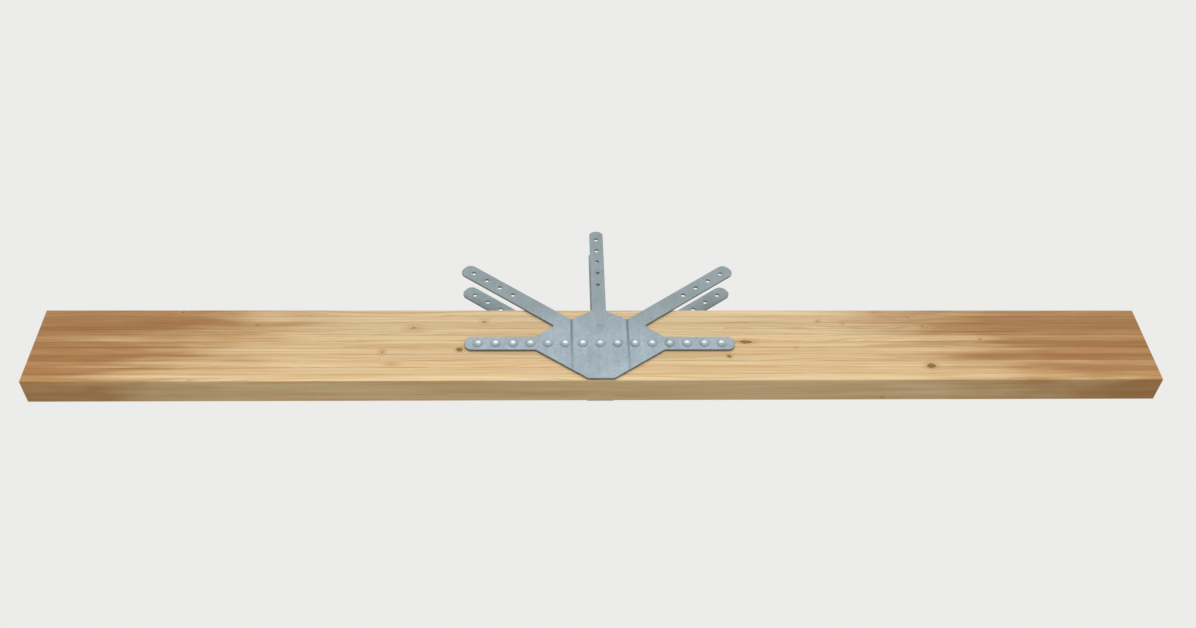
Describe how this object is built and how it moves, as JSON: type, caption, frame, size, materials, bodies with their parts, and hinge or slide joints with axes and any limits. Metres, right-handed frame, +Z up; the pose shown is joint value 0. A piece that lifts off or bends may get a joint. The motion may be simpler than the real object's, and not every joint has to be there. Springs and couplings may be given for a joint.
{
  "type": "glulam beam",
  "caption": "Straight glued laminated timber beam on edge, with star-shaped steel node plates bolted to both side faces and open bolt holes for a post and struts.",
  "frame": {"origin": "centre of the underside, at mid-length and mid-width, straight below the plates' work point", "axes": "+X along the beam, +Z up, and the bolt heads face -Y"},
  "size_m": [4.8768, 0.1866, 0.9335],
  "materials": {
    "timber": "planed, clear satin sealer",
    "plate_steel": "hot-dip galvanised, matt grey",
    "fastener_steel": "galvanised, semi-bright"
  },
  "bodies": {
    "root": {"lamination_01": "timber", "lamination_02": "timber", "lamination_03": "timber", "lamination_04": "timber", "lamination_05": "timber", "lamination_06": "timber", "lamination_07": "timber", "lamination_08": "timber", "lamination_09": "timber", "lamination_10": "timber", "lamination_11": "timber", "node_plate_front": "plate_steel", "node_plate_back": "plate_steel", "bolt_01": "fastener_steel", "washer_01": "fastener_steel", "nut_01": "fastener_steel", "bolt_02": "fastener_steel", "washer_02": "fastener_steel", "nut_02": "fastener_steel", "bolt_03": "fastener_steel", "washer_03": "fastener_steel", "nut_03": "fastener_steel", "bolt_04": "fastener_steel", "washer_04": "fastener_steel", "nut_04": "fastener_steel", "bolt_05": "fastener_steel", "washer_05": "fastener_steel", "nut_05": "fastener_steel", "bolt_06": "fastener_steel", "washer_06": "fastener_steel", "nut_06": "fastener_steel", "bolt_07": "fastener_steel", "washer_07": "fastener_steel", "nut_07": "fastener_steel", "bolt_08": "fastener_steel", "washer_08": "fastener_steel", "nut_08": "fastener_steel", "bolt_09": "fastener_steel", "washer_09": "fastener_steel", "nut_09": "fastener_steel", "bolt_10": "fastener_steel", "washer_10": "fastener_steel", "nut_10": "fastener_steel", "bolt_11": "fastener_steel", "washer_11": "fastener_steel", "nut_11": "fastener_steel", "bolt_12": "fastener_steel", "washer_12": "fastener_steel", "nut_12": "fastener_steel", "bolt_13": "fastener_steel", "washer_13": "fastener_steel", "nut_13": "fastener_steel", "bolt_14": "fastener_steel", "washer_14": "fastener_steel", "nut_14": "fastener_steel", "bolt_15": "fastener_steel", "washer_15": "fastener_steel", "nut_15": "fastener_steel"}
  },
  "joints": []
}
